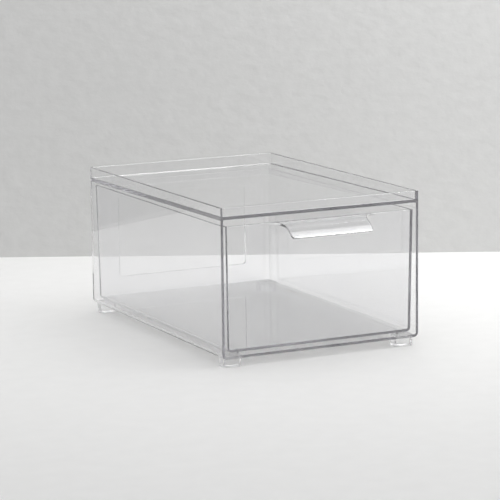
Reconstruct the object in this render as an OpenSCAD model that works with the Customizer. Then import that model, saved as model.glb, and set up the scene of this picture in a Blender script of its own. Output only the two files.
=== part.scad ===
// Stackable fridge bin: a clear open-fronted casing that stays on the shelf, and a pull-out drawer.
// The front faces -Y and up is +Z. The origin is the middle of the footprint, on the standing surface.

/* [Casing] */
// Outer width of the casing
casing_w = 210; // [170:1:300]
// Outer depth of the casing, from its front edge to its back face
casing_d = 308; // [240:1:400]
// Height of the casing at its front, from the underside to the top of the rim
casing_h = 142.5; // [110:0.5:200]
// Wall thickness of the casing
casing_wall = 2.6; // [2:0.1:4]
// Height of the stacking rim above the front of the top plate
rim_h = 8.7; // [6:0.1:14]
// How far the top plate slopes down from front to back
plate_draft = 2.7; // [0:0.1:4]
// How far the floor slopes up from front to back
floor_draft = 1; // [0:0.1:1.5]
// Radius of the casing's two long bottom edges
casing_bottom_r = 4.5; // [3:0.5:8]
// Radius of the casing's two upright back corners
casing_back_r = 3; // [1:0.5:6]

/* [Back window] */
// Plain wall left at each side of the back window
window_side = 34; // [20:0.5:60]
// Plain wall left above the back window, under the top plate
window_above = 20; // [10:1:35]
// Plain wall left below the back window, over the floor
window_below = 22; // [10:1:35]
// Corner radius of the back window
window_r = 3; // [1:0.5:14]

/* [Drawer] */
// Wall thickness of the drawer
drawer_wall = 2.2; // [1.6:0.1:3]
// Free height between the drawer's top edge and the front of the top plate
drawer_top_gap = 6.5; // [5:0.5:15]
// Free width between the drawer's top edge and the casing wall at each side
drawer_side_gap = 2.8; // [2:0.1:6]
// Free depth between the drawer's top edge and the casing's back wall
drawer_back_gap = 4; // [3:0.5:10]
// How far the drawer's top edge stands behind the casing's front edge
drawer_setback = 1.4; // [0.5:0.1:4]
// How far each side of the drawer draws in from its top edge to its bottom
drawer_draft = 1.7; // [0.5:0.1:3]
// Radius of the long bottom edges of the drawer
drawer_r = 4; // [3.5:0.5:8]
// Height of the upright band along the drawer's top edge
drawer_band = 1; // [0.5:0.1:3]

/* [Runners] */
// Width of each runner rib under the drawer
runner_w = 2.4; // [1.5:0.1:5]
// Height of each runner rib at the drawer's front
runner_h = 2.6; // [2:0.1:5]
// Distance of each runner rib from the drawer's side
runner_inset = 14; // [8:1:30]
// Running gap between the runner ribs and the casing's floor
runner_gap = 0.3; // [0.3:0.1:1]

/* [Pull lip] */
// Width of the pull lip at its free edge
lip_w = 86; // [60:1:100]
// Radius of the hollow corners where the pull lip leaves the drawer's front
lip_fillet_r = 15; // [8:0.5:16]
// Radius of the pull lip's corners at its free edge
lip_corner_r = 3; // [1:0.5:5]
// Radius of the pull lip's downward curve, at its upper face
lip_curve_r = 33; // [26:1:40]
// How far round its curve the pull lip runs, in degrees
lip_sweep = 50; // [40:1:65]

/* [Feet] */
// Length of each foot along the front
foot_w = 19.5; // [12:0.5:26]
// Length of each foot along the side
foot_d = 13.5; // [10:0.5:24]
// Radius of each foot's upright corners
foot_r = 3; // [1:0.5:4.5]
// Free space between a foot and the rim of the unit that it stands in
stack_gap = 0.6; // [0.4:0.1:2]

/* [Hidden] */
casing_colour = [0.84, 0.88, 0.90, 0.4];
drawer_colour = [0.88, 0.92, 0.94, 0.4];
foot_colour = [0.93, 0.95, 0.95, 0.6];
curve_fn = 96;
hull_fn = 32;
skin = 0.01;
overcut = 1;

// The feet are as tall as the rim, so a unit's feet reach the top plate of the unit below it
foot_h = rim_h;

// Depth places: the pull lip's free edge and the casing's back lie equally far from the origin
lip_reach = lip_curve_r * sin(lip_sweep);
front_y = (lip_reach - drawer_setback - casing_d) / 2;
back_y = front_y + casing_d;
bay_back_y = back_y - casing_wall;
drawer_front_y = front_y + drawer_setback;
drawer_back_y = bay_back_y - drawer_back_gap;

// Heights at the casing's front
under_z = foot_h;
floor_z = under_z + casing_wall;
rim_z = under_z + casing_h;
plate_z = rim_z - rim_h;
ceiling_z = plate_z - casing_wall;
drawer_under_z = floor_z + runner_gap + runner_h;
drawer_top_z = ceiling_z - drawer_top_gap;

// Sizes that follow
bay_w = casing_w - 2 * casing_wall;
bay_r = max(casing_bottom_r - casing_wall, 0.5);
drawer_w = bay_w - 2 * drawer_side_gap;
tub_r = max(drawer_r - drawer_wall, 0.5);
lip_fillet_end = 0.2;
tub_floor_z = drawer_under_z + drawer_wall;
upright_z = drawer_top_z - drawer_band;
lip_root = drawer_wall / 2;
window_low_z = floor_z + floor_draft + window_below;
window_high_z = ceiling_z - plate_draft - window_above;
foot_x = casing_w / 2 - casing_wall - stack_gap - foot_w / 2;
foot_in_y = casing_wall + stack_gap + foot_d / 2;

// How far back a place is, from 0 at the casing's front edge to 1 at its back face
function way_back(y) = (y - front_y) / casing_d;

// Rise of the sloping floor, and fall of the sloping top plate, at a place
function floor_rise(y) = floor_draft * way_back(y);
function plate_fall(y) = plate_draft * way_back(y);

// Rectangle with round corners, centred on the origin
module round_rectangle(w, d, r) {
    square([w - 2 * r, d], center = true);
    square([w, d - 2 * r], center = true);
    for (x = [-1, 1], y = [-1, 1])
        translate([x * (w / 2 - r), y * (d / 2 - r)])
            circle(r, $fn = curve_fn);
}

// Side view in Y and Z, run out to a width in X
module across(w) {
    rotate([90, 0, 90])
        linear_extrude(w, center = true)
            children();
}

// Thin slice across the casing at one depth, with round bottom corners
module casing_slice(y, w, low_z, high_z, r) {
    translate([0, y, 0])
        rotate([90, 0, 0])
            linear_extrude(skin, center = true) {
                for (side = [-1, 1])
                    translate([side * (w / 2 - r), low_z + r])
                        circle(r, $fn = hull_fn);
                translate([-w / 2, high_z - r])
                    square([w, r]);
            }
}

// Solid outside of the casing, before it is hollowed
module casing_block() {
    start_y = front_y - overcut;
    end_y = back_y + overcut;
    intersection() {
        hull() {
            casing_slice(start_y, casing_w, under_z + floor_rise(start_y), rim_z, casing_bottom_r);
            casing_slice(end_y, casing_w, under_z + floor_rise(end_y), rim_z, casing_bottom_r);
        }
        linear_extrude(rim_z) {
            translate([-casing_w / 2, front_y])
                square([casing_w, casing_d - casing_back_r]);
            translate([0, (front_y + back_y) / 2])
                round_rectangle(casing_w, casing_d, casing_back_r);
        }
    }
}

// Bay that the drawer slides into, open at the front
module drawer_bay() {
    mouth_y = front_y - overcut;
    hull() {
        casing_slice(mouth_y, bay_w, floor_z + floor_rise(mouth_y), ceiling_z - plate_fall(mouth_y), bay_r);
        casing_slice(bay_back_y, bay_w, floor_z + floor_rise(bay_back_y), ceiling_z - plate_fall(bay_back_y), bay_r);
    }
}

// Tray inside the rim, on top of the sloping top plate
module stacking_tray() {
    tray_front_y = front_y + casing_wall;
    across(bay_w)
        polygon([
            [tray_front_y, plate_z - plate_fall(tray_front_y)],
            [bay_back_y, plate_z - plate_fall(bay_back_y)],
            [bay_back_y, rim_z + overcut],
            [tray_front_y, rim_z + overcut]
        ]);
}

// Window through the back wall
module back_window() {
    translate([0, back_y + overcut, (window_low_z + window_high_z) / 2])
        rotate([90, 0, 0])
            linear_extrude(casing_wall + 2 * overcut)
                round_rectangle(casing_w - 2 * window_side, window_high_z - window_low_z, window_r);
}

module casing() {
    color(casing_colour)
        difference() {
            casing_block();
            drawer_bay();
            stacking_tray();
            back_window();
        }
}

// How far the tub's walls have drawn in at a height
function draw_in(z) = drawer_draft * (upright_z - z) / (upright_z - drawer_under_z);

// Front view of the tub with round bottom corners; inset moves its sides in
module tub_front(inset, low_z, high_z, r) {
    top_x = drawer_w / 2 - inset;
    base_x = top_x - draw_in(low_z + r);
    polygon([
        [-top_x, high_z],
        [-top_x, upright_z],
        [-base_x, low_z + r],
        [r - base_x, low_z],
        [base_x - r, low_z],
        [base_x, low_z + r],
        [top_x, upright_z],
        [top_x, high_z]
    ]);
    for (side = [-1, 1])
        translate([side * (base_x - r), low_z + r])
            circle(r, $fn = curve_fn);
}

// Tapered tub shape with a flat front and back, and an upright band at the top
module tub_shape(inset, low_z, high_z, r) {
    top_front_y = drawer_front_y + inset;
    top_back_y = drawer_back_y - inset;
    intersection() {
        translate([0, drawer_back_y, 0])
            rotate([90, 0, 0])
                linear_extrude(drawer_back_y - drawer_front_y)
                    tub_front(inset, low_z, high_z, r);
        across(drawer_w)
            polygon([
                [top_front_y, high_z],
                [top_front_y, upright_z],
                [top_front_y + draw_in(low_z), low_z],
                [top_back_y - draw_in(low_z), low_z],
                [top_back_y, upright_z],
                [top_back_y, high_z]
            ]);
    }
}

// Curved sheet of the pull lip in side view, drawn about the centre of its curve
module lip_side() {
    intersection() {
        difference() {
            union() {
                circle(lip_curve_r, $fn = curve_fn);
                translate([0, lip_curve_r - drawer_wall])
                    square([lip_root, drawer_wall]);
            }
            circle(lip_curve_r - drawer_wall, $fn = curve_fn);
        }
        polygon([
            [0, 0],
            [lip_root, 0],
            [lip_root, 2 * lip_curve_r],
            [0, 2 * lip_curve_r],
            [-2 * lip_curve_r * sin(lip_sweep), 2 * lip_curve_r * cos(lip_sweep)]
        ]);
    }
}

// Outline of the pull lip from above, drawn about the middle of its root
module lip_outline() {
    length = lip_reach + lip_corner_r;
    translate([0, lip_corner_r - length / 2])
        round_rectangle(lip_w, length, lip_corner_r);
    difference() {
        translate([-lip_w / 2 - lip_fillet_r, -lip_fillet_r])
            square([lip_w + 2 * lip_fillet_r, lip_fillet_r + lip_root]);
        for (side = [-1, 1])
            translate([side * (lip_w / 2 + lip_fillet_r), lip_fillet_end - lip_fillet_r])
                circle(lip_fillet_r, $fn = curve_fn);
    }
}

// Lip on the drawer's front edge that the fingers pull from below
module pull_lip() {
    intersection() {
        translate([0, drawer_front_y, drawer_top_z - lip_curve_r])
            across(lip_w + 2 * lip_fillet_r)
                lip_side();
        translate([0, drawer_front_y, drawer_under_z])
            linear_extrude(drawer_top_z)
                lip_outline();
    }
}

// Pair of ribs that carry the drawer, cut to the slope of the floor
module runners() {
    rib_front_y = drawer_front_y + drawer_draft + drawer_r;
    rib_back_y = drawer_back_y - drawer_draft - drawer_r;
    for (side = [-1, 1])
        translate([side * (drawer_w / 2 - runner_inset), 0, 0])
            across(runner_w)
                polygon([
                    [rib_front_y, floor_z + runner_gap + floor_rise(rib_front_y)],
                    [rib_back_y, floor_z + runner_gap + floor_rise(rib_back_y)],
                    [rib_back_y, drawer_under_z + drawer_wall / 2],
                    [rib_front_y, drawer_under_z + drawer_wall / 2]
                ]);
}

module drawer() {
    color(drawer_colour) {
        difference() {
            tub_shape(0, drawer_under_z, drawer_top_z, drawer_r);
            tub_shape(drawer_wall, tub_floor_z, drawer_top_z + overcut, tub_r);
        }
        pull_lip();
        runners();
    }
}

// Stacking foot: side is -1 for left and 1 for right
module foot(side, y) {
    color(foot_colour)
        intersection() {
            translate([side * foot_x, y, 0])
                linear_extrude(under_z + floor_draft)
                    round_rectangle(foot_w, foot_d, foot_r);
            across(casing_w)
                polygon([[front_y, 0], [back_y, 0], [back_y, under_z + floor_draft], [front_y, under_z]]);
        }
}

module front_left_foot() foot(-1, front_y + foot_in_y);
module front_right_foot() foot(1, front_y + foot_in_y);
module back_left_foot() foot(-1, back_y - foot_in_y);
module back_right_foot() foot(1, back_y - foot_in_y);

casing();
drawer();
front_left_foot();
front_right_foot();
back_left_foot();
back_right_foot();
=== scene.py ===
"""Stackable fridge bin in clear moulded polystyrene: an open casing, its drawer and four feet."""

import logging
import math
from collections.abc import Callable
from dataclasses import dataclass, replace
from enum import Enum

import bmesh
import bpy
from mathutils import Matrix, Vector


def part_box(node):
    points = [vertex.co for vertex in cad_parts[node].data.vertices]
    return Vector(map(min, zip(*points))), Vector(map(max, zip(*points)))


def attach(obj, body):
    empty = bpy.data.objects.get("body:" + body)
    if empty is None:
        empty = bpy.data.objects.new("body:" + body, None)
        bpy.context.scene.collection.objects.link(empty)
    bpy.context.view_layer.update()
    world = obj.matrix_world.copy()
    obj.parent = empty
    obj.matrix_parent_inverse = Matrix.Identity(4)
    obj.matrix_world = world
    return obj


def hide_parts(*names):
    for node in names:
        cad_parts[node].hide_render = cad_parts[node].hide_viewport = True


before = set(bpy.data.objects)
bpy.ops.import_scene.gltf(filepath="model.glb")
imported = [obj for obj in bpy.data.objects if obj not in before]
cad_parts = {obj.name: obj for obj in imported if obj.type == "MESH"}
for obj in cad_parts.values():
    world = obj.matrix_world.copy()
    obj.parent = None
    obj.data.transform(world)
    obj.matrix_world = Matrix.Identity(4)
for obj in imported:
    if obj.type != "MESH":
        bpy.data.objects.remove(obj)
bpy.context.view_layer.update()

MM = 0.001
LOG = logging.getLogger("fridge_bin")


class Body(Enum):
    """Bodies that the pieces ride on."""

    CASING = "casing"
    DRAWER = "drawer"


class Side(Enum):
    """Left and right as signs along X."""

    LEFT = -1
    RIGHT = 1


class Step(Enum):
    """Ways to combine two solids."""

    JOIN = "UNION"
    CUT = "DIFFERENCE"


def linear(hex_colour: str) -> tuple[float, float, float, float]:
    """Turns an sRGB colour into the linear one that shaders take.

    Args:
        hex_colour: the colour as "#rrggbb".

    Returns:
        Linear red, green and blue, and an alpha of 1.
    """
    parts = [int(hex_colour[i : i + 2], 16) / 255 for i in (1, 3, 5)]
    red, green, blue = (p / 12.92 if p <= 0.04045 else ((p + 0.055) / 1.055) ** 2.4 for p in parts)
    return red, green, blue, 1.0


# ---------------------------------------------------------------- finishes


class Nodes:
    """One material's or world's node tree, emptied and ready for new nodes."""

    def __init__(self, owner: bpy.types.Material | bpy.types.World) -> None:
        """Starts with an empty tree on the owner."""
        owner.use_nodes = True
        self.tree = owner.node_tree
        self.tree.nodes.clear()

    def add(
        self, kind: str, settings: dict[str, object] | None = None, **sockets: object
    ) -> bpy.types.Node:
        """Adds a node with its settings and links.

        Args:
            kind: the node's type name, without the leading "ShaderNode".
            settings: attributes to set on the node.
            **sockets: input names, with _ for a space, or i0, i1 for a numbered input; each value is a
                plain number or colour, or an output socket to link from.

        Returns:
            The new node.
        """
        node = self.tree.nodes.new(f"ShaderNode{kind}")
        for name, value in (settings or {}).items():
            setattr(node, name, value)
        for name, value in sockets.items():
            numbered = name[0] == "i" and name[1:].isdigit()
            socket = node.inputs[int(name[1:]) if numbered else name.replace("_", " ")]
            if isinstance(value, bpy.types.NodeSocket):
                self.tree.links.new(value, socket)
            else:
                socket.default_value = value
        return node


STYRENE_IOR = 1.59
# How many times longer than wide a scuff is
SCUFF_STRETCH = 14.0
# Share of the streaks' range over which a scuff fades in
SCUFF_RANGE = (0.64, 0.74)
SCUFF_ROUGHNESS = 0.06
# Length over which the gloss varies with handling
HANDLING_MM = 45


@dataclass(frozen=True)
class ClearStyrene:
    """Clear crystal polystyrene, injection moulded in a polished mould.

    It shows as water-clear sheet with crisp reflections, edges that turn dark grey where the eye looks
    along the sheet, a slow ripple from the melt's flow and a few hairline scuffs from use.

    The surface drifts from tint to shade, and smoke is the colour that light takes on inside the sheet.
    """

    name: str
    tint: str
    shade: str
    roughness: tuple[float, float]
    ripple_mm: float
    ripple_depth_mm: float
    scuff_mm: float
    smoke: str
    smoke_per_m: float

    def make(self) -> bpy.types.Material:
        """Builds the material."""
        material = bpy.data.materials.new(self.name)
        nodes = Nodes(material)
        place = nodes.add("TexCoord").outputs["Object"]
        per_m = 1 / MM

        # Flow ripple: a slow swell across the sheet
        ripple = nodes.add(
            "TexNoise", Vector=place, Scale=per_m / self.ripple_mm, Detail=1.0, Roughness=0.4
        )
        swell = nodes.add(
            "Bump", Height=ripple.outputs["Fac"], Strength=1.0, Distance=self.ripple_depth_mm * MM
        )

        # Scuffs: long thin streaks, a few of which pass the threshold
        turned = nodes.add(
            "Mapping",
            Vector=place,
            Rotation=(0.35, 0.5, 0.6),
            Scale=(1.0, SCUFF_STRETCH, SCUFF_STRETCH),
        )
        streak = nodes.add(
            "TexNoise",
            Vector=turned.outputs["Vector"],
            Scale=per_m / (self.scuff_mm * SCUFF_STRETCH),
            Detail=3.0,
            Roughness=0.7,
        )
        scuff = nodes.add(
            "MapRange",
            i0=streak.outputs["Fac"],
            i1=SCUFF_RANGE[0],
            i2=SCUFF_RANGE[1],
            i3=0.0,
            i4=1.0,
        )
        # Gloss varies a little with handling, and drops in the scuffs
        handled = nodes.add("TexNoise", Vector=place, Scale=per_m / HANDLING_MM, Detail=3.0, Roughness=0.55)
        gloss = nodes.add(
            "MapRange",
            i0=handled.outputs["Fac"],
            i1=0.35,
            i2=0.7,
            i3=self.roughness[0],
            i4=self.roughness[1],
        )
        worn = nodes.add(
            "Math",
            {"operation": "MULTIPLY_ADD"},
            i0=scuff.outputs["Result"],
            i1=SCUFF_ROUGHNESS,
            i2=gloss.outputs["Result"],
        )
        tone = nodes.add(
            "Mix",
            {"data_type": "RGBA"},
            Factor=handled.outputs["Fac"],
            A=linear(self.tint),
            B=linear(self.shade),
        )
        plastic = nodes.add(
            "BsdfPrincipled",
            Base_Color=tone.outputs["Result"],
            Roughness=worn.outputs["Value"],
            IOR=STYRENE_IOR,
            Transmission_Weight=1.0,
            Normal=swell.outputs["Normal"],
        )

        # Lamps shine through the sheet, as they do through real thin plastic
        let_through = nodes.add("BsdfTransparent", Color=linear("#fdfdfd"))
        light = nodes.add("LightPath")
        surface = nodes.add(
            "MixShader",
            Fac=light.outputs["Is Shadow Ray"],
            i1=plastic.outputs["BSDF"],
            i2=let_through.outputs["BSDF"],
        )
        inside = nodes.add("VolumeAbsorption", Color=linear(self.smoke), Density=self.smoke_per_m)
        nodes.add(
            "OutputMaterial", Surface=surface.outputs["Shader"], Volume=inside.outputs["Volume"]
        )
        return material


# ---------------------------------------------------------------- mesh helpers


def object_from(name: str, bm: bmesh.types.BMesh) -> bpy.types.Object:
    """Puts a bmesh in the scene as a new object, with its faces turned outwards, and frees it.

    Args:
        name: the object's name.
        bm: the mesh, in metres in the row frame.

    Returns:
        The new object.
    """
    bmesh.ops.recalc_face_normals(bm, faces=bm.faces)
    mesh = bpy.data.meshes.new(name)
    bm.to_mesh(mesh)
    bm.free()
    made = bpy.data.objects.new(name, mesh)
    bpy.context.scene.collection.objects.link(made)
    return made


def applied(obj: bpy.types.Object) -> bpy.types.Object:
    """Applies all the object's modifiers to its mesh.

    Args:
        obj: the object.

    Returns:
        The same object, with no modifiers.
    """
    bpy.context.view_layer.update()
    graph = bpy.context.evaluated_depsgraph_get()
    mesh = bpy.data.meshes.new_from_object(obj.evaluated_get(graph))
    old = obj.data
    obj.modifiers.clear()
    obj.data = mesh
    bpy.data.meshes.remove(old)
    return obj


def weigh_edges(
    obj: bpy.types.Object, angle: float, weight_at: Callable[[Vector], float]
) -> bpy.types.Object:
    """Says how much each sharp edge of an object is to be rounded.

    Args:
        obj: the object.
        angle: the least angle in degrees between the faces of a sharp edge.
        weight_at: gives the weight, from 0 to 1, of an edge whose middle is at a place.

    Returns:
        The same object.
    """
    bm = bmesh.new()
    bm.from_mesh(obj.data)
    weights = bm.edges.layers.float.get("bevel_weight_edge") or bm.edges.layers.float.new(
        "bevel_weight_edge"
    )
    for edge in bm.edges:
        sharp = len(edge.link_faces) == 2 and edge.calc_face_angle(0) > math.radians(angle)
        middle = (edge.verts[0].co + edge.verts[1].co) / 2
        edge[weights] = weight_at(middle) if sharp else 0.0
    bm.to_mesh(obj.data)
    bm.free()
    return obj


def rounded(obj: bpy.types.Object, width: float, segments: int = 3) -> bpy.types.Object:
    """Rounds an object's edges, each by its own bevel weight.

    Args:
        obj: the object.
        width: the rounding's width in metres at a weight of 1.
        segments: how many strips the rounding has.

    Returns:
        The same object.
    """
    bevel = obj.modifiers.new("rounding", "BEVEL")
    bevel.width = width
    bevel.segments = segments
    bevel.use_clamp_overlap = False
    bevel.miter_outer = "MITER_SHARP"
    bevel.limit_method = "WEIGHT"
    return applied(obj)


def combined(obj: bpy.types.Object, other: bpy.types.Object, how: Step) -> bpy.types.Object:
    """Joins another solid to an object or cuts it out, and removes the other.

    Args:
        obj: the object that is kept.
        other: the solid to join or cut with.
        how: whether to join or to cut.

    Returns:
        The kept object.
    """
    step = obj.modifiers.new("step", "BOOLEAN")
    step.operation = how.value
    step.solver = "EXACT"
    step.object = other
    applied(obj)
    mesh = other.data
    bpy.data.objects.remove(other)
    bpy.data.meshes.remove(mesh)
    return obj


def smoothed(obj: bpy.types.Object) -> bpy.types.Object:
    """Shades an object smoothly, with its large flat faces kept flat.

    Args:
        obj: the object.

    Returns:
        The same object.
    """
    for polygon in obj.data.polygons:
        polygon.use_smooth = True
    obj.data.set_sharp_from_angle(angle=math.radians(50))
    weighted = obj.modifiers.new("flat_faces", "WEIGHTED_NORMAL")
    weighted.keep_sharp = True
    weighted.weight = 100
    return obj


@dataclass
class Block:
    """Six-sided block whose front and back may differ in height, with its edges rounded one by one.

    The radii are in millimetres: low is for the two long bottom edges and high for the two long top
    edges, foot and head for the back's bottom and top edges, toe for the front's bottom edge, and
    upright and front_upright for the upright edges at the back and the front.
    """

    half_w: float
    front_y: float
    back_y: float
    front_z: tuple[float, float]
    back_z: tuple[float, float]
    low: float = 0.0
    high: float = 0.0
    upright: float = 0.0
    front_upright: float = 0.0
    foot: float = 0.0
    head: float = 0.0
    toe: float = 0.0
    segments: int = 8

    def corner(self, side: int, back: bool, top: bool) -> tuple[float, float, float]:
        """One corner of the block."""
        heights = self.back_z if back else self.front_z
        return side * self.half_w, self.back_y if back else self.front_y, heights[int(top)]

    def radius(self, a: tuple[int, bool, bool], b: tuple[int, bool, bool]) -> float:
        """Radius of the edge between two corners, each named by side, back and top."""
        if a[1] != b[1]:
            return self.high if a[2] else self.low
        if a[2] != b[2]:
            return self.upright if a[1] else self.front_upright
        if a[1]:
            return self.head if a[2] else self.foot
        return 0.0 if a[2] else self.toe

    def make(self, name: str) -> bpy.types.Object:
        """Builds the block as an object.

        Args:
            name: the object's name.

        Returns:
            The object, with its edges rounded.
        """
        bm = bmesh.new()
        keys = [(s, b, t) for s in (-1, 1) for b in (False, True) for t in (False, True)]
        corners = {key: bm.verts.new(self.corner(*key)) for key in keys}
        for axis in range(3):
            for value in {key[axis] for key in keys}:
                face = [key for key in keys if key[axis] == value]
                order = [face[0], face[1], face[3], face[2]]
                bm.faces.new([corners[key] for key in order])
        weights = bm.edges.layers.float.new("bevel_weight_edge")
        widest = max(
            self.low, self.high, self.upright, self.front_upright, self.foot, self.head, self.toe
        )
        names = {vert: key for key, vert in corners.items()}
        if widest:
            for edge in bm.edges:
                a, b = edge.verts
                edge[weights] = self.radius(names[a], names[b]) / widest
        made = object_from(name, bm)
        return rounded(made, widest * MM, self.segments) if widest else made


# ---------------------------------------------------------------- the object


@dataclass
class Casing:
    """Outer casing that stays on the shelf: a sleeve with a back window, and a stacking rim on top."""

    wall: float = 2.6 * MM
    rim: float = 8.7 * MM
    plate_fall: float = 2.7 * MM
    floor_rise: float = 1.0 * MM
    low_radius_mm: float = 4.5
    back_radius_mm: float = 3.0
    back_foot_radius_mm: float = 2.0
    inner_low_radius_mm: float = 1.9
    inner_radius_mm: float = 0.9
    overcut: float = 2 * MM
    window_side: float = 34 * MM
    window_above: float = 20 * MM
    window_below: float = 22 * MM
    window_radius_mm: float = 3.0
    rim_edge: float = 0.6 * MM
    rim_weight: float = 1.0
    window_weight: float = 0.8
    plain_weight: float = 0.35

    def __post_init__(self) -> None:
        """Takes the overall sizes from the frame."""
        low, high = (Vector(corner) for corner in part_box("casing"))
        self.half_w = high.x
        self.front_y, self.back_y = low.y, high.y
        self.under_z, self.rim_z = low.z, high.z
        self.depth = self.back_y - self.front_y
        self.plate_z = self.rim_z - self.rim

    def fall(self, y: float) -> float:
        """How far the top plate has come down at a depth."""
        return self.plate_fall * (y - self.front_y) / self.depth

    def rise(self, y: float) -> float:
        """How far the floor has come up at a depth."""
        return self.floor_rise * (y - self.front_y) / self.depth

    def bay(self) -> bpy.types.Object:
        """The space that the drawer slides in."""
        mouth_y, end_y = self.front_y - self.overcut, self.back_y - self.wall
        floor_z, ceiling_z = self.under_z + self.wall, self.plate_z - self.wall
        return Block(
            self.half_w - self.wall,
            mouth_y,
            end_y,
            (floor_z + self.rise(mouth_y), ceiling_z - self.fall(mouth_y)),
            (floor_z + self.rise(end_y), ceiling_z - self.fall(end_y)),
            low=self.inner_low_radius_mm,
            high=self.inner_radius_mm,
            upright=self.inner_radius_mm,
            foot=self.inner_radius_mm,
            head=self.inner_radius_mm,
            segments=5,
        ).make("bay")

    def tray(self) -> bpy.types.Object:
        """The space inside the stacking rim."""
        start_y, end_y = self.front_y + self.wall, self.back_y - self.wall
        over_z = self.rim_z + self.overcut
        return Block(
            self.half_w - self.wall,
            start_y,
            end_y,
            (self.plate_z - self.fall(start_y), over_z),
            (self.plate_z - self.fall(end_y), over_z),
            low=self.inner_radius_mm,
            upright=self.inner_radius_mm,
            front_upright=self.inner_radius_mm,
            foot=self.inner_radius_mm,
            toe=self.inner_radius_mm,
            segments=4,
        ).make("tray")

    def window_heights(self) -> tuple[float, float]:
        """Heights of the window's bottom and top edges."""
        low_z = self.under_z + self.wall + self.floor_rise + self.window_below
        high_z = self.plate_z - self.wall - self.plate_fall - self.window_above
        return low_z, high_z

    def edge_weight(self, place: Vector) -> float:
        """How far the edge at a place is rounded: most at the rim's top and round the window."""
        near = 0.1 * MM
        low_z, high_z = self.window_heights()
        across = abs(place.x) < self.half_w - self.window_side + near
        upright = low_z - near < place.z < high_z + near
        at_back = place.y > self.back_y - self.wall - near
        if across and upright and at_back:
            return self.window_weight
        return self.rim_weight if place.z > self.rim_z - near else self.plain_weight

    def window(self) -> bpy.types.Object:
        """The opening in the back wall."""
        low_z, high_z = self.window_heights()
        return Block(
            self.half_w - self.window_side,
            self.back_y - self.wall - self.overcut,
            self.back_y + self.overcut,
            (low_z, high_z),
            (low_z, high_z),
            low=self.window_radius_mm,
            high=self.window_radius_mm,
            segments=10,
        ).make("window")

    def make(self, finish: bpy.types.Material) -> bpy.types.Object:
        """Builds the casing.

        Args:
            finish: its material.

        Returns:
            The piece.
        """
        shell = Block(
            self.half_w,
            self.front_y,
            self.back_y,
            (self.under_z, self.rim_z),
            (self.under_z + self.floor_rise, self.rim_z),
            low=self.low_radius_mm,
            upright=self.back_radius_mm,
            foot=self.back_foot_radius_mm,
        ).make("clear_casing")
        for cutter in (self.bay(), self.tray(), self.window()):
            combined(shell, cutter, Step.CUT)
        weigh_edges(shell, 40, self.edge_weight)
        rounded(shell, self.rim_edge)
        return dressed(shell, finish, Body.CASING, "casing")


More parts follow.
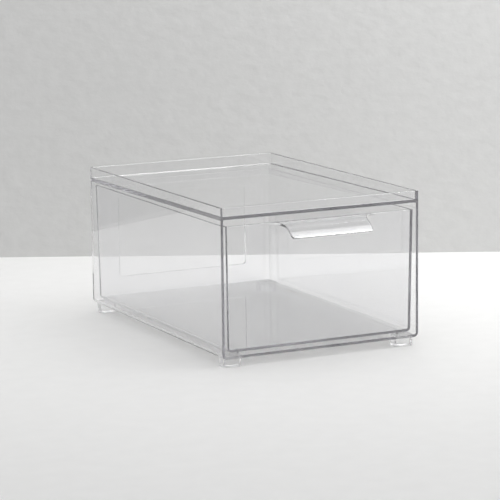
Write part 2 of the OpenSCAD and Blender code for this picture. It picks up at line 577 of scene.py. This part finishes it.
@dataclass
class Drawer:
    """Pull-out tub with tapered walls, a curved pull lip on its front edge and two runner ribs below."""

    wall: float = 2.2 * MM
    taper: float = 1.7 * MM
    radius: float = 4.0 * MM
    band: float = 1.0 * MM
    edge: float = 0.5 * MM
    corner_weight: float = 0.5
    rim_weight: float = 1.0
    lip_weight: float = 0.7
    runner_h: float = 2.6 * MM
    runner_w: float = 2.4 * MM
    runner_inset: float = 14 * MM
    runner_gap: float = 0.3 * MM
    runner_radius_mm: float = 0.5
    lip_half_w: float = 43 * MM
    lip_fillet: float = 15 * MM
    lip_corner: float = 3.0 * MM
    lip_curve: float = 33.0 * MM
    lip_sweep: float = math.radians(50)
    corner_steps: int = 8
    straight_steps: int = 6
    lip_columns: int = 16

    def __post_init__(self) -> None:
        """Takes the overall sizes from the frame."""
        low, high = (Vector(corner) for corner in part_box("drawer"))
        self.half_w = high.x
        self.top_z = high.z
        self.under_z = low.z + self.runner_h
        self.reach = self.lip_curve * math.sin(self.lip_sweep)
        self.front_y = low.y + self.reach
        self.back_y = high.y
        self.root_half_w = self.lip_half_w + self.lip_fillet

    def draw_in(self, z: float) -> float:
        """How far the tub's walls have drawn in at a height."""
        upright_z = self.top_z - self.band
        return max(self.taper * (upright_z - z) / (upright_z - self.under_z), 0.0)

    def ring(self, inset: float, half_w: float, z: float) -> list[tuple[float, float, float]]:
        """One ring of points round the tub, from the lip's left end along the front.

        Args:
            inset: how far it lies inside the tub's front and back at its height.
            half_w: its half width.
            z: its height.

        Returns:
            The points, as many for every ring.
        """
        front = self.front_y + inset + self.draw_in(z)
        back = self.back_y - inset - self.draw_in(z)
        columns = self.lip_columns
        root = min(self.root_half_w, half_w - 1 * MM)
        points = [(root * (2 * i / columns - 1), front, z) for i in range(columns + 1)]
        return points + [(half_w, front, z), (half_w, back, z), (-half_w, back, z), (-half_w, front, z)]

    def section(self, inset: float, low_z: float, radius: float) -> list[tuple[float, float]]:
        """Half widths and heights round one long bottom edge, from the flat floor to the wall."""
        foot_z = low_z + radius
        side = self.half_w - inset - self.draw_in(foot_z)
        steps = self.corner_steps
        turns = [math.radians(90 * i / steps) for i in range(steps + 1)]
        return [
            (side - radius * (1 - math.sin(turn)), foot_z - radius * math.cos(turn)) for turn in turns
        ]

    def rings(self) -> list[list[tuple[float, float, float]]]:
        """Rings of points from the outside of the tub's floor, over its edge, to its inside floor."""
        outside = [(0.0, *point) for point in self.section(0, self.under_z, self.radius)]
        under_lip_z = self.top_z - self.wall
        outside.append((0.0, self.half_w - self.draw_in(under_lip_z), under_lip_z))
        outside.append((0.0, self.half_w, self.top_z))
        inside = self.section(self.wall, self.under_z + self.wall, self.radius - self.wall)
        made = outside + [(self.wall, self.half_w - self.wall, self.top_z)]
        made += [(self.wall, *point) for point in reversed(inside)]
        return [self.ring(*level) for level in made]

    def lip_rows(self) -> list[tuple[float, float]]:
        """Rows of the pull lip: how far out each lies, and its half width there."""
        rows = []
        steps = self.corner_steps
        for i in range(1, steps + 1):
            turn = math.radians(90 * i / steps)
            rows.append(
                (
                    self.lip_fillet * (1 - math.cos(turn)),
                    self.root_half_w - self.lip_fillet * math.sin(turn),
                )
            )
        straight = self.reach - self.lip_corner
        first = rows[-1][0]
        for i in range(1, self.straight_steps + 1):
            rows.append((first + (straight - first) * i / self.straight_steps, self.lip_half_w))
        for i in range(1, steps + 1):
            turn = math.radians(90 * i / steps)
            rows.append(
                (
                    straight + self.lip_corner * math.sin(turn),
                    self.lip_half_w - self.lip_corner * (1 - math.cos(turn)),
                )
            )
        return rows

    def tub(self) -> bpy.types.Object:
        """The tub and its pull lip as one closed moulding, with its free edges rounded."""
        bm = bmesh.new()
        weights = bm.edges.layers.float.new("bevel_weight_edge")
        rings = [[bm.verts.new(point) for point in ring] for ring in self.rings()]
        count = len(rings[0])
        band = self.corner_steps + 1
        for level, (ring, above) in enumerate(zip(rings, rings[1:])):
            for i in range(count):
                if level == band and i < self.lip_columns:
                    continue
                j = (i + 1) % count
                bm.faces.new((ring[i], ring[j], above[j], above[i]))
        bm.faces.new(rings[0])
        bm.faces.new(rings[-1])

        centre_z = self.top_z - self.lip_curve
        lower = [rings[band][: self.lip_columns + 1]]
        upper = [rings[band + 1][: self.lip_columns + 1]]
        for out, half_w in self.lip_rows():
            lift = math.sqrt(self.lip_curve**2 - out**2)
            under = (self.lip_curve - self.wall) / self.lip_curve
            xs = [half_w * (2 * i / self.lip_columns - 1) for i in range(self.lip_columns + 1)]
            upper.append([bm.verts.new((x, self.front_y - out, centre_z + lift)) for x in xs])
            lower.append(
                [bm.verts.new((x, self.front_y - out * under, centre_z + lift * under)) for x in xs]
            )
        for sheet in (upper, lower):
            for near, far in zip(sheet, sheet[1:]):
                for i in range(self.lip_columns):
                    bm.faces.new((near[i], near[i + 1], far[i + 1], far[i]))
        lip_edges = []
        for i in (0, self.lip_columns):
            for row in range(len(upper) - 1):
                bm.faces.new((upper[row][i], upper[row + 1][i], lower[row + 1][i], lower[row][i]))
                lip_edges += [(upper[row][i], upper[row + 1][i]), (lower[row][i], lower[row + 1][i])]
        for i in range(self.lip_columns):
            bm.faces.new((upper[-1][i], upper[-1][i + 1], lower[-1][i + 1], lower[-1][i]))
            lip_edges += [(upper[-1][i], upper[-1][i + 1]), (lower[-1][i], lower[-1][i + 1])]
        top, inner = rings[band + 1], rings[band + 2]
        rim_edges = [(top[i], top[(i + 1) % count]) for i in range(self.lip_columns, count)]
        rim_edges += [(inner[i], inner[(i + 1) % count]) for i in range(count)]
        weighed = (
            (self.corner_edges(rings), self.corner_weight),
            (rim_edges, self.rim_weight),
            (lip_edges, self.lip_weight),
        )
        for pairs, weight in weighed:
            for pair in pairs:
                bm.edges.get(pair)[weights] = weight
        return rounded(object_from("clear_drawer", bm), self.edge)

    def corner_edges(
        self, rings: list[list[bmesh.types.BMVert]]
    ) -> list[tuple[bmesh.types.BMVert, bmesh.types.BMVert]]:
        """Edges round the tub's flat front and back, outside and inside."""
        count = len(rings[0])
        corners = range(self.lip_columns + 1, count)
        upright = [(a[i], b[i]) for a, b in zip(rings, rings[1:]) for i in corners]
        below = []
        for ring in (rings[0], rings[-1]):
            below += [(ring[i], ring[i + 1]) for i in range(self.lip_columns + 2)]
            below += [(ring[-2], ring[-3]), (ring[-1], ring[0])]
        level = self.corner_steps + 2
        over = {frozenset((rings[level][i], rings[level + 1][i])) for i in corners}
        return [pair for pair in upright + below if frozenset(pair) not in over]

    def runner(self, side: Side, casing: Casing) -> bpy.types.Object:
        """One runner rib, cut to the slope of the casing's floor."""
        start, end = self.front_y + self.taper + self.radius, self.back_y - self.taper - self.radius
        foot_z = casing.under_z + casing.wall + self.runner_gap
        top_z = self.under_z + self.wall / 2
        rib = Block(
            self.runner_w / 2,
            start,
            end,
            (foot_z + casing.rise(start), top_z),
            (foot_z + casing.rise(end), top_z),
            low=self.runner_radius_mm,
            upright=self.runner_radius_mm,
            front_upright=self.runner_radius_mm,
            foot=self.runner_radius_mm,
            toe=self.runner_radius_mm,
            segments=3,
        ).make("runner")
        rib.data.transform(
            Matrix.Translation((side.value * (self.half_w - self.runner_inset), 0, 0))
        )
        return rib

    def make(self, finish: bpy.types.Material, casing: Casing) -> bpy.types.Object:
        """Builds the drawer.

        Args:
            finish: its material.
            casing: the casing that it slides in.

        Returns:
            The piece.
        """
        tub = self.tub()
        for side in Side:
            combined(tub, self.runner(side, casing), Step.JOIN)
        return dressed(tub, finish, Body.DRAWER, "drawer")


@dataclass
class Foot:
    """Stacking foot bonded under a corner of the casing."""

    node: str
    corner_mm: float = 3.0
    toe_mm: float = 0.8

    def make(self, finish: bpy.types.Material) -> bpy.types.Object:
        """Builds the foot.

        Args:
            finish: its material.

        Returns:
            The piece.
        """
        low, high = (Vector(corner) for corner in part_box(self.node))
        centre_x = (low.x + high.x) / 2
        heights = (low.z, high.z)
        foot = Block(
            high.x - centre_x,
            low.y,
            high.y,
            heights,
            heights,
            low=self.toe_mm,
            upright=self.corner_mm,
            front_upright=self.corner_mm,
            foot=self.toe_mm,
            toe=self.toe_mm,
            segments=6,
        ).make(f"clear_{self.node}")
        foot.data.transform(Matrix.Translation((centre_x, 0, 0)))
        return dressed(foot, finish, Body.CASING, self.node)


def dressed(
    obj: bpy.types.Object, finish: bpy.types.Material, body: Body, node: str
) -> bpy.types.Object:
    """Gives a piece its finish and its place in the frame.

    Args:
        obj: the piece.
        finish: its material.
        body: the body that it rides on.
        node: the CAD node that it stands for.

    Returns:
        The same piece.
    """
    obj.data.materials.clear()
    obj.data.materials.append(finish)
    smoothed(obj)
    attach(obj, body.value)
    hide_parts(node)
    LOG.info("%s: %d faces on body %s", obj.name, len(obj.data.polygons), body.value)
    return obj


# ---------------------------------------------------------------- the studio


@dataclass
class Studio:
    """Pale table, plain grey wall, soft light and the camera."""

    azimuth: float = -26.5
    elevation: float = 10.2
    roll: float = -0.65
    distance: float = 2.43
    lens: float = 175.7
    wall_behind: float = 0.42
    aim_height_mm: float = 75
    aim_right_mm: float = 1.44
    aim_down_mm: float = 4.63
    light_bounces: int = 96
    see_through_bounces: int = 24

    def floor_finish(self) -> bpy.types.Material:
        """Pale matt table top, which doesn't show from below."""
        material = bpy.data.materials.new("pale_table")
        nodes = Nodes(material)
        grain = nodes.add("TexNoise", Scale=600.0, Detail=2.0)
        tone = nodes.add(
            "Mix",
            {"data_type": "RGBA"},
            Factor=grain.outputs["Fac"],
            A=linear("#e5e5e4"),
            B=linear("#dfdfde"),
        )
        top = nodes.add("BsdfPrincipled", Base_Color=tone.outputs["Result"], Roughness=0.45)
        self.one_sided(nodes, top.outputs["BSDF"])
        return material

    def wall_finish(self) -> bpy.types.Material:
        """Grey painted wall, which doesn't show from behind."""
        material = bpy.data.materials.new("grey_wall")
        nodes = Nodes(material)
        stipple = nodes.add("TexNoise", Scale=160.0, Detail=3.0)
        tone = nodes.add(
            "Mix",
            {"data_type": "RGBA"},
            Factor=stipple.outputs["Fac"],
            A=linear("#cfcfce"),
            B=linear("#c4c4c3"),
        )
        relief = nodes.add("Bump", Height=stipple.outputs["Fac"], Strength=0.5, Distance=1.2 * MM)
        paint = nodes.add(
            "BsdfPrincipled",
            Base_Color=tone.outputs["Result"],
            Roughness=0.9,
            Normal=relief.outputs["Normal"],
        )
        self.one_sided(nodes, paint.outputs["BSDF"])
        return material

    def one_sided(self, nodes: Nodes, front: bpy.types.NodeSocket) -> None:
        """Lets a stage surface be seen through from its back."""
        facing = nodes.add("NewGeometry")
        see_through = nodes.add("BsdfTransparent")
        surface = nodes.add(
            "MixShader", Fac=facing.outputs["Backfacing"], i1=front, i2=see_through.outputs["BSDF"]
        )
        nodes.add("OutputMaterial", Surface=surface.outputs["Shader"])

    def sheet(self, name: str, corners: list[Vector], finish: bpy.types.Material) -> None:
        """Adds a flat stage sheet, seen from the side from which its corners run anticlockwise."""
        bm = bmesh.new()
        bm.faces.new([bm.verts.new(corner) for corner in corners])
        mesh = bpy.data.meshes.new(name)
        bm.to_mesh(mesh)
        bm.free()
        mesh.materials.append(finish)
        made = bpy.data.objects.new(name, mesh)
        bpy.context.scene.collection.objects.link(made)

    def facing(self) -> tuple[Vector, Vector, Vector]:
        """Directions back to the camera, to its right and up, as unit vectors."""
        azimuth, elevation = math.radians(self.azimuth), math.radians(self.elevation)
        back = Vector(
            (
                math.sin(azimuth) * math.cos(elevation),
                -math.cos(azimuth) * math.cos(elevation),
                math.sin(elevation),
            )
        )
        right = Vector((math.cos(azimuth), math.sin(azimuth), 0))
        return back, right, back.cross(right)

    def build_stage(self) -> None:
        """Lays the table and stands the wall behind it."""
        back, right, _ = self.facing()
        away = -Vector((back.x, back.y, 0)).normalized()
        reach = 6.0
        self.sheet(
            "table",
            [
                Vector((-reach, -reach, 0)),
                Vector((reach, -reach, 0)),
                Vector((reach, reach, 0)),
                Vector((-reach, reach, 0)),
            ],
            self.floor_finish(),
        )
        foot = away * self.wall_behind
        up = Vector((0, 0, 1))
        half_w, height = 1.6, 1.8
        self.sheet(
            "wall",
            [
                foot - right * half_w,
                foot + right * half_w,
                foot + right * half_w + up * height,
                foot - right * half_w + up * height,
            ],
            self.wall_finish(),
        )

    def lamp(
        self,
        name: str,
        place: Vector,
        target: Vector,
        size: tuple[float, float],
        watts: float,
        mirrored: bool = True,
        spread: float = 180.0,
    ) -> None:
        """Adds a soft rectangular lamp.

        Args:
            name: its name.
            place: where it stands.
            target: the point that it faces.
            size: its width and height in metres.
            watts: its power.
            mirrored: whether it shows in glossy surfaces.
            spread: how widely it fans out, in degrees.
        """
        data = bpy.data.lights.new(name, "AREA")
        data.shape = "RECTANGLE"
        data.size, data.size_y = size
        data.energy = watts
        data.spread = math.radians(spread)
        made = bpy.data.objects.new(name, data)
        made.visible_glossy = mirrored
        made.location = place
        made.rotation_euler = (target - place).to_track_quat("-Z", "Y").to_euler()
        bpy.context.scene.collection.objects.link(made)

    def light(self) -> None:
        """Lights the stage softly from the right and above, with a faint lamp at the left."""
        aim = Vector((0, 0, 0.07))
        back, right, _ = self.facing()
        near = Vector((back.x, back.y, 0)).normalized()
        up = Vector((0, 0, 1))
        self.lamp("key_lamp", right * 2.0 + near * 0.16 + up * 1.76, aim, (0.96, 1.1), 15.0)
        self.lamp("overhead_lamp", up * 1.5, aim, (0.6, 0.6), 8.2, mirrored=False)
        self.lamp("side_lamp", right * -1.3 - near * 0.2 + up * 0.35, aim, (0.2, 0.6), 1.2)
        wall_place = right * 0.45 - near * self.wall_behind + up * 0.55
        self.lamp(
            "wall_lamp",
            right * 0.75 - near * 0.1 + up * 1.05,
            wall_place,
            (1.0, 0.6),
            3.4,
            spread=100,
        )
        world = bpy.data.worlds.new("room")
        bpy.context.scene.world = world
        nodes = Nodes(world)
        ambient = nodes.add("Background", Color=linear("#bdbdbe"), Strength=1.1)
        nodes.add("OutputWorld", Surface=ambient.outputs["Background"])

    def camera(self) -> None:
        """Sets up the camera at the object's own viewing angle."""
        back, right, up = self.facing()
        low, high = (Vector(corner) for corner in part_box("casing"))
        centre = (low + high) / 2
        centre.z = low.z + self.aim_height_mm * MM
        aim = centre + right * self.aim_right_mm * MM - up * self.aim_down_mm * MM
        data = bpy.data.cameras.new("camera")
        data.lens = self.lens
        data.sensor_width = 36
        data.clip_end = 50
        made = bpy.data.objects.new("camera", data)
        turn = Matrix((right, up, back)).transposed().to_4x4()
        tilt = Matrix.Rotation(math.radians(self.roll), 4, "Z")
        made.matrix_world = Matrix.Translation(aim + back * self.distance) @ turn @ tilt
        bpy.context.scene.collection.objects.link(made)
        bpy.context.scene.camera = made

    def make(self) -> None:
        """Builds the whole studio."""
        self.build_stage()
        self.light()
        self.camera()
        scene = bpy.context.scene
        scene.view_settings.view_transform = "Standard"
        # Light runs a long way inside clear sheet before it comes out
        scene.cycles.max_bounces = self.light_bounces
        scene.cycles.transmission_bounces = self.light_bounces
        scene.cycles.glossy_bounces = self.light_bounces
        scene.cycles.transparent_max_bounces = self.see_through_bounces
        scene.cycles.caustics_reflective = False
        scene.cycles.caustics_refractive = False


CASING_FINISH = ClearStyrene(
    name="clear_polystyrene_casing",
    tint="#fefefe",
    shade="#fcfcfd",
    roughness=(0.0, 0.012),
    ripple_mm=38.0,
    ripple_depth_mm=0.006,
    scuff_mm=0.5,
    smoke="#8b8994",
    smoke_per_m=4.4,
)
DRAWER_FINISH = replace(
    CASING_FINISH, name="clear_polystyrene_drawer", roughness=(0.0, 0.015), ripple_mm=30.0
)
# The feet are slightly hazy
FOOT_FINISH = ClearStyrene(
    name="clear_polystyrene_feet",
    tint="#fbfbfb",
    shade="#f6f6f7",
    roughness=(0.08, 0.2),
    ripple_mm=9.0,
    ripple_depth_mm=0.03,
    scuff_mm=0.5,
    smoke="#c8c8cc",
    smoke_per_m=4.0,
)
FEET = ("front_left_foot", "front_right_foot", "back_left_foot", "back_right_foot")


def main() -> None:
    """Builds the studio and the bin, one sub-assembly after another."""
    logging.basicConfig(level=logging.INFO, format="%(message)s")
    Studio().make()
    casing_plastic = CASING_FINISH.make()
    drawer_plastic = DRAWER_FINISH.make()
    foot_plastic = FOOT_FINISH.make()
    casing = Casing()
    casing.make(casing_plastic)
    Drawer().make(drawer_plastic, casing)
    for node in FEET:
        Foot(node).make(foot_plastic)


if __name__ == "__main__":
    main()
